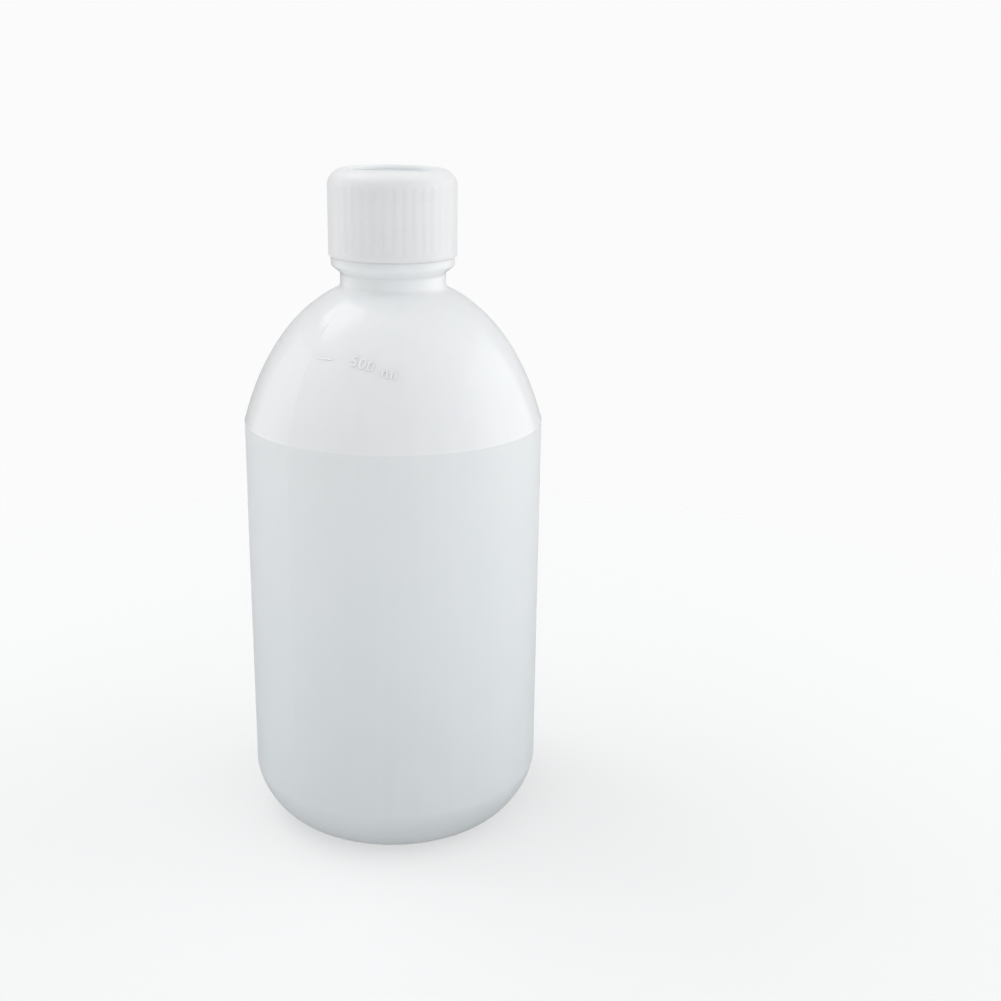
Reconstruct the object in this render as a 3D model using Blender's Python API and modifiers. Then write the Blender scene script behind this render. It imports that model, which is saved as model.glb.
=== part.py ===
"""Narrow-mouth reagent bottle, closed: blow-moulded body, inner plug, sealing wad and screw cap.

Lengths below are in millimetres and MM turns them into metres. The origin is the centre of the
base on the bench, +Z runs up the bottle's axis, and -Y is the front.
"""

import math

import bmesh
import bpy

MM = 0.001

# Body
BODY_RADIUS = 37.5
BODY_WALL = 1.1
BASE_WALL = 1.5
RING_INNER_RADIUS = 24.0
HEEL_WIDTH = 9.4
HEEL_HEIGHT = 13.3
HEEL_EXPONENT = 1.55
PUSH_UP_HEIGHT = 2.8
PUSH_UP_LIP_WIDTH = 1.6
PUSH_UP_LIP_HEIGHT = 0.7

# Shoulder: a superellipse dome whose centre lies below the line where it meets the wall
SHOULDER_BOTTOM = 106.1
DOME_CENTRE = 77.3
DOME_HEIGHT = 64.3
DOME_EXPONENT = 2.18

# Neck
NECK_RADIUS = 13.0
NECK_CORNER = 0.8
BORE_RADIUS = 11.7
BEAD_CONE_BOTTOM = 142.7
BEAD_CONE_HEIGHT = 1.8
BEAD_RADIUS = 15.2
BEAD_HEIGHT = 3.4
BEAD_EDGE = 0.6
FINISH_RADIUS = 13.2
LIP_TOP = 162.6
LIP_EDGE = 0.5

# Thread: a round ridge on the neck, and one half a pitch away inside the cap
PITCH = 3.0
NECK_RIDGE = 0.9
NECK_RIDGE_RADIUS = 13.4
NECK_RIDGE_BURIED = 12.45
NECK_THREAD_BOTTOM = 149.9
NECK_THREAD_TURNS = 3.4
CAP_RIDGE = 0.8
CAP_RIDGE_RADIUS = 14.45
CAP_RIDGE_BURIED = 14.97
CAP_THREAD_FIRST_TURN = 1.0
CAP_THREAD_TURNS = 2.6
RIDGE_END_SCALE = 0.5
RIDGE_END_TURN = 0.08

# Gap kept between pieces stacked in the closed bottle
STACK_GAP = 0.2

# Inner plug
PLUG_FLANGE_RADIUS = 13.45
PLUG_FLANGE = 0.9
PLUG_FLANGE_EDGE = 0.25
PLUG_WALL = 1.0
PLUG_CLEARANCE = 0.1
PLUG_WELL_DEPTH = 2.9
PLUG_DEPTH = 8.0
PLUG_LEAD = 1.0
GATE_RADIUS = 0.45
GATE_HEIGHT = 0.5
GATE_OFFSET = 4.4

# Sealing wad
WAD_RADIUS = 14.2
WAD_THICKNESS = 0.9
WAD_EDGE = 0.2

# Cap
CAP_BOTTOM = 146.8
CAP_TOP = 167.5
CAP_RADIUS = 15.75
CAP_BORE_RADIUS = 14.5
CAP_MOUTH_CHAMFER = 0.5
CAP_CROWN = 4.2
CAP_TOP_PLATE = 1.3
RECESS_RADIUS = 10.7
RECESS_DEPTH = 1.2
RECESS_EDGE = 0.8
RIB_COUNT = 42
RIB_DEPTH = 0.3
RIB_BOTTOM = 147.9
RIB_TOP = 163.2
RIB_RUN_OUT = 0.5

# Facets
BODY_SEGMENTS = 56
CAP_SEGMENTS = 2 * RIB_COUNT
PLUG_SEGMENTS = 48
THREAD_SEGMENTS = 32
THREAD_BEVEL_STEPS = 2
MERGE_DISTANCE = 0.00001
HALF_TURN = math.pi
QUARTER_TURN = math.pi / 2


def clear_scene():
    for obj in list(bpy.data.objects):
        bpy.data.objects.remove(obj)


def new_collection(name, hidden=False):
    collection = bpy.data.collections.new(name)
    collection.hide_render = hidden
    bpy.context.scene.collection.children.link(collection)
    return collection


def plastic(name, colour, roughness):
    material = bpy.data.materials.new(name)
    material.use_nodes = True
    shader = material.node_tree.nodes["Principled BSDF"]
    shader.inputs["Base Color"].default_value = (*colour, 1.0)
    shader.inputs["Roughness"].default_value = roughness
    shader.inputs["Metallic"].default_value = 0.0
    material.diffuse_color = (*colour, 1.0)
    return material


def arc(centre_r, centre_z, radius, start, end, steps):
    """Points of a circular arc in the (r, z) plane, from start to end in radians."""
    angles = [start + (end - start) * i / steps for i in range(steps + 1)]
    return [(centre_r + radius * math.cos(a), centre_z + radius * math.sin(a)) for a in angles]


def heel(wall_radius, base_z, steps):
    """The rounded corner from the wall down to the standing ring."""
    ring_radius = BODY_RADIUS - HEEL_WIDTH
    width = wall_radius - ring_radius
    height = HEEL_HEIGHT - base_z
    points = []
    for i in range(steps + 1):
        angle = QUARTER_TURN * i / steps
        across = math.cos(angle) ** (2 / HEEL_EXPONENT)
        down = math.sin(angle) ** (2 / HEEL_EXPONENT)
        points.append((ring_radius + width * across, HEEL_HEIGHT - height * down))
    return points


def dome(wall_radius, inset, end_radius, steps):
    """The shoulder from the top of the wall in to end_radius, going up."""
    height = DOME_HEIGHT - inset
    power = DOME_EXPONENT
    start_rise = (SHOULDER_BOTTOM - DOME_CENTRE) / height
    width = wall_radius / (1 - start_rise**power) ** (1 / power)
    start = math.asin(start_rise ** (power / 2))
    end = math.acos((end_radius / width) ** (power / 2))
    points = []
    for i in range(steps + 1):
        angle = start + (end - start) * i / steps
        r = width * math.cos(angle) ** (2 / power)
        z = DOME_CENTRE + height * math.sin(angle) ** (2 / power)
        points.append((r, z))
    return points


def push_up(lift):
    """The raised middle of the base, from the standing ring in to the axis."""
    edge = RING_INNER_RADIUS - PUSH_UP_LIP_WIDTH
    rise = PUSH_UP_HEIGHT - PUSH_UP_LIP_HEIGHT
    points = [(RING_INNER_RADIUS, lift)]
    for share in (1.0, 0.6, 0.3, 0.0):
        z = lift + PUSH_UP_LIP_HEIGHT + rise * (1 - share * share)
        points.append((edge * share, z))
    return points


def body_profile():
    inner_wall = BODY_RADIUS - BODY_WALL
    bead_top = BEAD_CONE_BOTTOM + BEAD_HEIGHT
    inside_up = list(reversed(push_up(BASE_WALL)))
    inside_up += list(reversed(heel(inner_wall, BASE_WALL, 4)))
    inside_up += dome(inner_wall, BODY_WALL, BORE_RADIUS, 7)
    lip = [
        (BORE_RADIUS, LIP_TOP - LIP_EDGE),
        (BORE_RADIUS + LIP_EDGE, LIP_TOP),
        (FINISH_RADIUS - LIP_EDGE, LIP_TOP),
        (FINISH_RADIUS, LIP_TOP - LIP_EDGE),
    ]
    neck_down = [
        (FINISH_RADIUS, bead_top),
        (BEAD_RADIUS - BEAD_EDGE, bead_top),
        (BEAD_RADIUS, bead_top - BEAD_EDGE),
        (BEAD_RADIUS, BEAD_CONE_BOTTOM + BEAD_CONE_HEIGHT),
        (NECK_RADIUS, BEAD_CONE_BOTTOM),
    ]
    outer_dome = dome(BODY_RADIUS, 0.0, NECK_RADIUS + NECK_CORNER, 9)
    neck_foot = outer_dome[-1][1] + NECK_CORNER
    neck_down += arc(NECK_RADIUS + NECK_CORNER, neck_foot, NECK_CORNER, HALF_TURN, 1.25 * HALF_TURN, 2)
    outside_down = list(reversed(outer_dome)) + heel(BODY_RADIUS, 0.0, 6) + push_up(0.0)
    return inside_up + lip + neck_down + outside_down


def plug_profile():
    under_flange = LIP_TOP + STACK_GAP
    top = under_flange + PLUG_FLANGE
    skirt = BORE_RADIUS - PLUG_CLEARANCE
    well = skirt - PLUG_WALL
    floor = top - PLUG_WELL_DEPTH
    bottom = under_flange - PLUG_DEPTH
    edge = PLUG_FLANGE_EDGE
    return [
        (0.0, floor),
        (well - edge, floor),
        (well, floor + edge),
        (well, top - edge),
        (well + edge, top),
        (PLUG_FLANGE_RADIUS - edge, top),
        (PLUG_FLANGE_RADIUS, top - edge),
        (PLUG_FLANGE_RADIUS, under_flange),
        (skirt, under_flange),
        (skirt, bottom + PLUG_LEAD),
        (skirt - PLUG_LEAD / 2, bottom),
        (well, bottom),
        (well, floor - PLUG_WALL),
        (0.0, floor - PLUG_WALL),
    ]


def wad_profile():
    bottom = LIP_TOP + 2 * STACK_GAP + PLUG_FLANGE
    top = bottom + WAD_THICKNESS
    return [
        (0.0, top),
        (WAD_RADIUS - WAD_EDGE, top),
        (WAD_RADIUS, top - WAD_EDGE),
        (WAD_RADIUS, bottom + WAD_EDGE),
        (WAD_RADIUS - WAD_EDGE, bottom),
        (0.0, bottom),
    ]


def cap_profile():
    recess_floor = CAP_TOP - RECESS_DEPTH
    ceiling = recess_floor - CAP_TOP_PLATE
    rim_inner = RECESS_RADIUS + RECESS_EDGE
    crown_centre = CAP_RADIUS - CAP_CROWN
    top_down = [(0.0, recess_floor), (RECESS_RADIUS - RECESS_EDGE, recess_floor)]
    top_down += arc(rim_inner, CAP_TOP - RECESS_EDGE, RECESS_EDGE, HALF_TURN, QUARTER_TURN, 3)
    top_down += arc(crown_centre, CAP_TOP - CAP_CROWN, CAP_CROWN, QUARTER_TURN, 0.0, 4)
    side = [
        (CAP_RADIUS, RIB_TOP),
        (CAP_RADIUS, RIB_TOP - RIB_RUN_OUT),
        (CAP_RADIUS, RIB_BOTTOM + RIB_RUN_OUT),
        (CAP_RADIUS, RIB_BOTTOM),
        (CAP_RADIUS, CAP_BOTTOM),
    ]
    inside_up = [
        (CAP_BORE_RADIUS + CAP_MOUTH_CHAMFER, CAP_BOTTOM),
        (CAP_BORE_RADIUS, CAP_BOTTOM + CAP_MOUTH_CHAMFER),
        (CAP_BORE_RADIUS, ceiling),
        (0.0, ceiling),
    ]
    return top_down + side + inside_up


def turned(name, profile, segments, collection, material):
    """A body of revolution about Z. The profile runs down its outer side, in (r, z) millimetres."""
    mesh = bpy.data.meshes.new(name)
    vertices = [(r * MM, 0.0, z * MM) for r, z in profile]
    edges = [(i, i + 1) for i in range(len(vertices) - 1)]
    mesh.from_pydata(vertices, edges, [])
    obj = bpy.data.objects.new(name, mesh)
    collection.objects.link(obj)
    screw = obj.modifiers.new("turn", "SCREW")
    screw.axis = "Z"
    screw.angle = 2 * HALF_TURN
    screw.steps = segments
    screw.render_steps = segments
    screw.use_merge_vertices = True
    screw.merge_threshold = MERGE_DISTANCE
    mesh.materials.append(material)
    return obj


def evaluated_mesh(obj):
    bpy.context.view_layer.update()
    graph = bpy.context.evaluated_depsgraph_get()
    return bpy.data.meshes.new_from_object(obj.evaluated_get(graph))


def apply_modifiers(obj):
    mesh = evaluated_mesh(obj)
    obj.modifiers.clear()
    obj.data = mesh


def weld(mesh):
    shape = bmesh.new()
    shape.from_mesh(mesh)
    bmesh.ops.remove_doubles(shape, verts=shape.verts, dist=MERGE_DISTANCE)
    bmesh.ops.recalc_face_normals(shape, faces=shape.faces)
    shape.to_mesh(mesh)
    shape.free()


def thread_ridge(name, path_radius, buried_radius, bottom, turns, thickness, collection):
    """A right-hand helical ridge whose two ends dive into the wall that carries it."""
    count = round(turns * THREAD_SEGMENTS)
    curve = bpy.data.curves.new(name, "CURVE")
    curve.dimensions = "3D"
    curve.twist_mode = "Z_UP"
    curve.bevel_depth = thickness * MM
    curve.bevel_resolution = THREAD_BEVEL_STEPS
    curve.use_fill_caps = True
    spline = curve.splines.new("POLY")
    spline.points.add(count)
    for i, point in enumerate(spline.points):
        turn = i / THREAD_SEGMENTS
        from_end = min(turn, turns - turn)
        emerged = min(1.0, max(0.0, from_end / RIDGE_END_TURN))
        radius = buried_radius + (path_radius - buried_radius) * emerged
        angle = 2 * HALF_TURN * turn
        z = bottom + PITCH * turn
        point.co = (radius * math.cos(angle) * MM, radius * math.sin(angle) * MM, z * MM, 1.0)
        point.radius = RIDGE_END_SCALE + (1 - RIDGE_END_SCALE) * emerged
    wire = bpy.data.objects.new(name + "_path", curve)
    collection.objects.link(wire)
    mesh = evaluated_mesh(wire)
    mesh.name = name
    weld(mesh)
    ridge = bpy.data.objects.new(name, mesh)
    ridge.matrix_world = wire.matrix_world
    ridge.display_type = "WIRE"
    ridge.hide_render = True
    collection.objects.link(ridge)
    bpy.data.objects.remove(wire)
    return ridge


def join(obj, other):
    union = obj.modifiers.new("join_" + other.name, "BOOLEAN")
    union.operation = "UNION"
    union.solver = "EXACT"
    union.object = other


def cut_ribs(cap):
    """Grooves between the grip ribs: every other column of the ribbed band is pulled in."""
    for vertex in cap.data.vertices:
        x, y, z = vertex.co
        radius = math.hypot(x, y)
        in_band = RIB_BOTTOM + RIB_RUN_OUT / 2 < z / MM < RIB_TOP - RIB_RUN_OUT / 2
        column = round(math.atan2(y, x) / (2 * HALF_TURN) * CAP_SEGMENTS)
        if in_band and radius / MM > (CAP_BORE_RADIUS + CAP_RADIUS) / 2 and column % 2:
            scale = (CAP_RADIUS - RIB_DEPTH) / CAP_RADIUS
            vertex.co.x = x * scale
            vertex.co.y = y * scale


def shade(obj, angle_degrees=35.0):
    obj.data.shade_smooth()
    obj.data.set_sharp_from_angle(angle=math.radians(angle_degrees))


def gate_nub(collection):
    """The little peg that the moulding gate leaves on the plug's floor."""
    floor = LIP_TOP + STACK_GAP + PLUG_FLANGE - PLUG_WELL_DEPTH
    bpy.ops.mesh.primitive_cone_add(
        vertices=12,
        radius1=GATE_RADIUS * MM,
        radius2=GATE_RADIUS * 0.6 * MM,
        depth=2 * GATE_HEIGHT * MM,
        location=(GATE_OFFSET * MM, 0.0, floor * MM),
    )
    nub = bpy.context.object
    nub.name = "gate_nub"
    nub.display_type = "WIRE"
    nub.hide_render = True
    for owner in list(nub.users_collection):
        owner.objects.unlink(nub)
    collection.objects.link(nub)
    return nub


def make_body(parts, helpers, material):
    body = turned("bottle_body", body_profile(), BODY_SEGMENTS, parts, material)
    ridge = thread_ridge(
        "neck_thread",
        NECK_RIDGE_RADIUS,
        NECK_RIDGE_BURIED,
        NECK_THREAD_BOTTOM,
        NECK_THREAD_TURNS,
        NECK_RIDGE,
        helpers,
    )
    join(body, ridge)
    return body


def make_plug(parts, helpers, material):
    plug = turned("inner_plug", plug_profile(), PLUG_SEGMENTS, parts, material)
    join(plug, gate_nub(helpers))
    return plug


def make_cap(parts, helpers, material):
    cap = turned("screw_cap", cap_profile(), CAP_SEGMENTS, parts, material)
    apply_modifiers(cap)
    cut_ribs(cap)
    half_pitch_up = NECK_THREAD_BOTTOM + PITCH / 2
    ridge = thread_ridge(
        "cap_thread",
        CAP_RIDGE_RADIUS,
        CAP_RIDGE_BURIED,
        half_pitch_up + PITCH * CAP_THREAD_FIRST_TURN,
        CAP_THREAD_TURNS,
        CAP_RIDGE,
        helpers,
    )
    join(cap, ridge)
    return cap


def axis_empty(name, height, collection):
    empty = bpy.data.objects.new(name, None)
    empty.location = (0.0, 0.0, height * MM)
    empty.empty_display_size = BODY_RADIUS * MM
    collection.objects.link(empty)
    return empty


def main():
    clear_scene()
    parts = new_collection("reagent_bottle")
    helpers = new_collection("helpers", hidden=True)
    body_plastic = plastic("milky_polyethylene", (0.80, 0.83, 0.83), 0.42)
    cap_plastic = plastic("white_polypropylene", (0.86, 0.88, 0.88), 0.38)
    plug_plastic = plastic("soft_polyethylene", (0.83, 0.85, 0.85), 0.40)
    foam = plastic("polyethylene_foam", (0.88, 0.88, 0.86), 0.80)
    root = axis_empty("bottle_axis", 0.0, parts)
    for obj in (
        make_body(parts, helpers, body_plastic),
        make_plug(parts, helpers, plug_plastic),
        turned("sealing_wad", wad_profile(), PLUG_SEGMENTS, parts, foam),
        make_cap(parts, helpers, cap_plastic),
    ):
        shade(obj)
        obj.parent = root


main()
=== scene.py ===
"""Looks of a closed narrow-mouth reagent bottle in milky plastic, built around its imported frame.

The object's sizes are in millimetres, and MM turns them into metres. The main ones come from the
frame's boxes. +Z runs up the bottle's axis, and the camera looks at the front, from -Y.
"""

import math

import bpy
import numpy as np
from mathutils import Matrix, Vector


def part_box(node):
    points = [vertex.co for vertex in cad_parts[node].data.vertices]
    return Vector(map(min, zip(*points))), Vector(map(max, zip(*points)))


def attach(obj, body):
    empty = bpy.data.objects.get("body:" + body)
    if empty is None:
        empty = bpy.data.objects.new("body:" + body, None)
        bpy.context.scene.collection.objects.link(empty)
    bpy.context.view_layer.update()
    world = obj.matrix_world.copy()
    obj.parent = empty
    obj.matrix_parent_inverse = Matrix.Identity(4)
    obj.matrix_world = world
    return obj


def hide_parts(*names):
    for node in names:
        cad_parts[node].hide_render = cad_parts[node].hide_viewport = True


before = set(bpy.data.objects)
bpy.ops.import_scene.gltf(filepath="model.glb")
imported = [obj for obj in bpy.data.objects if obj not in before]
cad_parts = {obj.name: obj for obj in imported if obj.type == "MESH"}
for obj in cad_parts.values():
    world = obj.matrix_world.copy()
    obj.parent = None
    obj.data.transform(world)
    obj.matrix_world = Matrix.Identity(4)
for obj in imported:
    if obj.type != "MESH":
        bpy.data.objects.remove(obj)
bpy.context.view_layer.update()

MM = 0.001
FULL_TURN = 2 * math.pi
HALF_TURN = math.pi
QUARTER_TURN = math.pi / 2


def box_mm(node):
    """Lowest and highest corners of a CAD node, in millimetres."""
    low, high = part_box(node)
    return low / MM, high / MM


BODY_HIGH = box_mm("bottle_body")[1]
PLUG_LOW, PLUG_HIGH = box_mm("inner_plug")
WAD_LOW, WAD_HIGH = box_mm("sealing_wad")
CAP_LOW, CAP_HIGH = box_mm("screw_cap")

# Body: the wall, the rounded heel, and the push-up inside the standing ring
BODY_RADIUS = BODY_HIGH.x
BODY_WALL = 1.1
BASE_WALL = 1.5
RING_INNER_RADIUS = 24.0
HEEL_WIDTH = 9.4
HEEL_HEIGHT = 13.3
HEEL_EXPONENT = 1.55
PUSH_UP_HEIGHT = 2.8
PUSH_UP_LIP_WIDTH = 1.6
PUSH_UP_LIP_HEIGHT = 0.7

# Shoulder: a superellipse dome whose centre lies below the parting line where it meets the wall
SHOULDER_BOTTOM = 106.1
DOME_CENTRE = 77.3
DOME_HEIGHT = 64.3
DOME_EXPONENT = 2.18
PARTING_RIDGE = 0.045
PARTING_RIDGE_WIDTH = 0.9

# Neck, the conical bead under the cap, the collar just inside the cap, and the threaded finish
LIP_TOP = BODY_HIGH.z
NECK_RADIUS = 13.0
NECK_FILLET = 2.4
BORE_RADIUS = 11.7
BEAD_CONE_BOTTOM = 142.7
BEAD_CONE_HEIGHT = 1.8
BEAD_RADIUS = 15.2
BEAD_TOP = CAP_LOW.z - 0.03
BEAD_EDGE = 0.5
COLLAR_RADIUS = 14.25
COLLAR_TOP = 148.6
COLLAR_EDGE = 0.3
FINISH_RADIUS = 13.2
LIP_EDGE = 0.45

# Threads: the ridges' crests and half widths stay inside the CAD's round ridges
PITCH = 3.0
THREAD_FLAT = 0.25
THREAD_RUN_OUT = 0.09
NECK_THREAD_BOTTOM = 149.9
NECK_THREAD_TURNS = 3.4
NECK_THREAD_HEIGHT = 1.1
NECK_THREAD_HALF_WIDTH = 0.95
CAP_THREAD_BOTTOM = NECK_THREAD_BOTTOM + 1.5 * PITCH
CAP_THREAD_TURNS = 2.6
CAP_THREAD_HEIGHT = 0.85
CAP_THREAD_HALF_WIDTH = 0.85

# Cap
CAP_RADIUS = CAP_HIGH.x
CAP_BOTTOM = CAP_LOW.z
CAP_TOP = CAP_HIGH.z
CAP_BORE_RADIUS = 14.5
CAP_CROWN = 4.2
CAP_TOP_PLATE = 1.3
CAP_LOWER_EDGE = 0.15
CAP_MOUTH_CHAMFER = 0.4
CAP_MOUTH_HEIGHT = 0.5
CAP_MOUTH_EDGE = 0.3
CEILING_EDGE = 0.35
CEILING_TO_THREAD = 0.8
RECESS_RADIUS = 10.7
RECESS_DEPTH = 1.2
RECESS_DRAFT = 0.15
RECESS_EDGE = 0.25
RIB_COUNT = 42
RIB_DEPTH = 0.10
RIB_BOTTOM = 147.9
RIB_TOP = 165.3
RIB_RUN_OUT = 0.9
RIB_TOP_RUN_OUT = 1.8

# Inner plug
PLUG_WALL = 1.0
PLUG_FLANGE = 0.9
PLUG_WELL_DEPTH = 2.9
PLUG_LEAD = 1.0
PLUG_CLEARANCE = 0.1
PLUG_SKIRT_RADIUS = BORE_RADIUS - PLUG_CLEARANCE
PLUG_DRAFT = 0.12
PLUG_FLOOR_CROWN = 0.12
PLUG_EDGE = 0.2

# Sealing wad, with a faint ring where the plug's flange presses into it
WAD_EDGE = 0.2
WAD_PRESSED = 0.06
WAD_PRESSED_EDGE = 0.1

# Raised capacity mark on the shoulder: a dash, then a number and a unit that slope down to the right
MARK_ANGLE = math.radians(-124.0)
NUMBER_ANGLE = math.radians(-104.5)
UNIT_ANGLE = math.radians(-92.0)
FULL_MARK_HEIGHT = 125.9
FULL_VOLUME = 500
MARK_LENGTH = 4.4
MARK_WIDTH = 0.5
LETTER_HEIGHT = 2.7
CAPITAL_SHARE = 0.7
MARK_RELIEF = 0.09
TEXT_TILT = math.radians(-14.0)
NUMBER_DROP = 0.5
UNIT_DROP = 2.3

# Mould seams: a fine ridge on each side, with the skin drawn slightly to a peak along it.
# SEAM_COLUMNS are the angles, in degrees, of the extra columns of points on both sides of a seam
SEAM_ANGLES = (math.radians(-132.0), math.radians(48.0))
SEAM_RELIEF = 0.06
SEAM_HALF_WIDTH = 0.22
SEAM_PEAK = 0.11
SEAM_PEAK_REACH = 5.0
SEAM_COLUMNS = (0.0, 0.18, 0.36, 0.7, 1.2)

# Slight unevenness of the blown skin: waves by depth, number round the bottle, phase and pitch up it
SWELL_WAVES = ((0.050, 2, 0.6, 31), (0.030, 3, 1.9, -19), (0.018, 5, 0.0, 13))
SWELL_LIMIT = 0.03

# Heights between which the seams and the unevenness come in over the base and go out under the bead,
# and how far they leave the skin below the CAD's surface
RELIEF_COMES_IN = (2.0, HEEL_HEIGHT + 10)
RELIEF_GOES_OUT = (BEAD_CONE_BOTTOM - 8, BEAD_CONE_BOTTOM - 2)
SKIN_BELOW_CAD = 0.12

# Where wear comes in: across the heel, up to the bead, and across the cap's lower edge
HEEL_RUB_RADII = (30.0, 33.0)
BEAD_RUB_HEIGHTS = (140.0, 146.0)
LOWER_EDGE_RUB_RADII = (15.0, 15.5)

# Facets: columns round each piece, steps along curves, and the longest rows of points up the walls
BODY_SEGMENTS = 192
HEEL_STEPS = 16
DOME_STEPS = 42
INNER_HEEL_STEPS = 10
INNER_DOME_STEPS = 24
CROWN_STEPS = 16
CAP_COLUMNS_PER_RIB = 8
PLUG_SEGMENTS = 120
WAD_SEGMENTS = 120
WALL_ROW = 8.0
INNER_WALL_ROW = 20.0
BORE_ROW = 4.0
CAP_SIDE_ROW = 2.0
THREAD_ROW = 0.3
RUN_OUT_ROW = 0.15
PARTING_ROW = 0.15
ABOVE_PARTING_ROW = 0.2


# ---------------------------------------------------------------- profiles, in (r, z) millimetres


def arc(centre_r, centre_z, radius, start, end, steps):
    """Points of a circular arc in the (r, z) plane, from start to end in radians."""
    angles = [start + (end - start) * i / steps for i in range(steps + 1)]
    return [(centre_r + radius * math.cos(a), centre_z + radius * math.sin(a)) for a in angles]


def heel(wall_radius, base_z, steps):
    """The rounded corner from the wall down to the standing ring."""
    ring_radius = BODY_RADIUS - HEEL_WIDTH
    width = wall_radius - ring_radius
    height = HEEL_HEIGHT - base_z
    points = []
    for i in range(steps + 1):
        angle = QUARTER_TURN * i / steps
        across = math.cos(angle) ** (2 / HEEL_EXPONENT)
        down = math.sin(angle) ** (2 / HEEL_EXPONENT)
        points.append((ring_radius + width * across, HEEL_HEIGHT - height * down))
    return points


def dome_width(wall_radius, height):
    """Half width of the whole superellipse that is wall_radius wide where the shoulder starts."""
    power = DOME_EXPONENT
    start_rise = (SHOULDER_BOTTOM - DOME_CENTRE) / height
    return wall_radius / (1 - start_rise**power) ** (1 / power)


def dome_radius(z):
    """Outer radius of the shoulder at height z."""
    power = DOME_EXPONENT
    rise = min(1.0, (z - DOME_CENTRE) / DOME_HEIGHT)
    return dome_width(BODY_RADIUS, DOME_HEIGHT) * (1 - rise**power) ** (1 / power)


def dome(wall_radius, inset, end_radius, steps):
    """The shoulder from the top of the wall in to end_radius, going up."""
    height = DOME_HEIGHT - inset
    power = DOME_EXPONENT
    width = dome_width(wall_radius, height)
    start = math.asin(((SHOULDER_BOTTOM - DOME_CENTRE) / height) ** (power / 2))
    end = math.acos((end_radius / width) ** (power / 2))
    points = []
    for i in range(steps + 1):
        angle = start + (end - start) * i / steps
        r = width * math.cos(angle) ** (2 / power)
        z = DOME_CENTRE + height * math.sin(angle) ** (2 / power)
        points.append((r, z))
    return points


def rounded(corners, steps=5):
    """A polyline through (r, z, rounding) corners, with each corner eased over its rounding distance."""
    points = []
    for i, (r, z, rounding) in enumerate(corners):
        if rounding == 0 or i in (0, len(corners) - 1):
            points.append((r, z))
            continue
        corner = np.array((r, z))
        before = np.array(corners[i - 1][:2]) - corner
        after = np.array(corners[i + 1][:2]) - corner
        reach = min(rounding, 0.5 * np.linalg.norm(before), 0.5 * np.linalg.norm(after))
        start = corner + before / np.linalg.norm(before) * reach
        end = corner + after / np.linalg.norm(after) * reach
        for step in range(steps + 1):
            t = step / steps
            points.append(tuple((1 - t) ** 2 * start + 2 * t * (1 - t) * corner + t * t * end))
    return points


def spaced(points, longest):
    """The same polyline with points added, so that no stretch is longer than longest."""
    filled = [points[0]]
    for start, end in zip(points, points[1:]):
        count = max(1, math.ceil(math.dist(start, end) / longest))
        for i in range(1, count + 1):
            t = i / count
            filled.append((start[0] + (end[0] - start[0]) * t, start[1] + (end[1] - start[1]) * t))
    return filled


def push_up(lift):
    """The raised middle of the base, from the axis out to the standing ring."""
    edge = RING_INNER_RADIUS - PUSH_UP_LIP_WIDTH
    edge_z = lift + PUSH_UP_LIP_HEIGHT
    rise = PUSH_UP_HEIGHT - PUSH_UP_LIP_HEIGHT
    shares = [i / 8 for i in range(8)]
    corners = [(edge * share, edge_z + rise * (1 - share * share), 0) for share in shares]
    corners.append((edge, edge_z, PUSH_UP_LIP_WIDTH / 3))
    corners.append((RING_INNER_RADIUS, lift, PUSH_UP_LIP_WIDTH / 3))
    corners.append((BODY_RADIUS - HEEL_WIDTH, lift, 0))
    return rounded(corners, 4)


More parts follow.
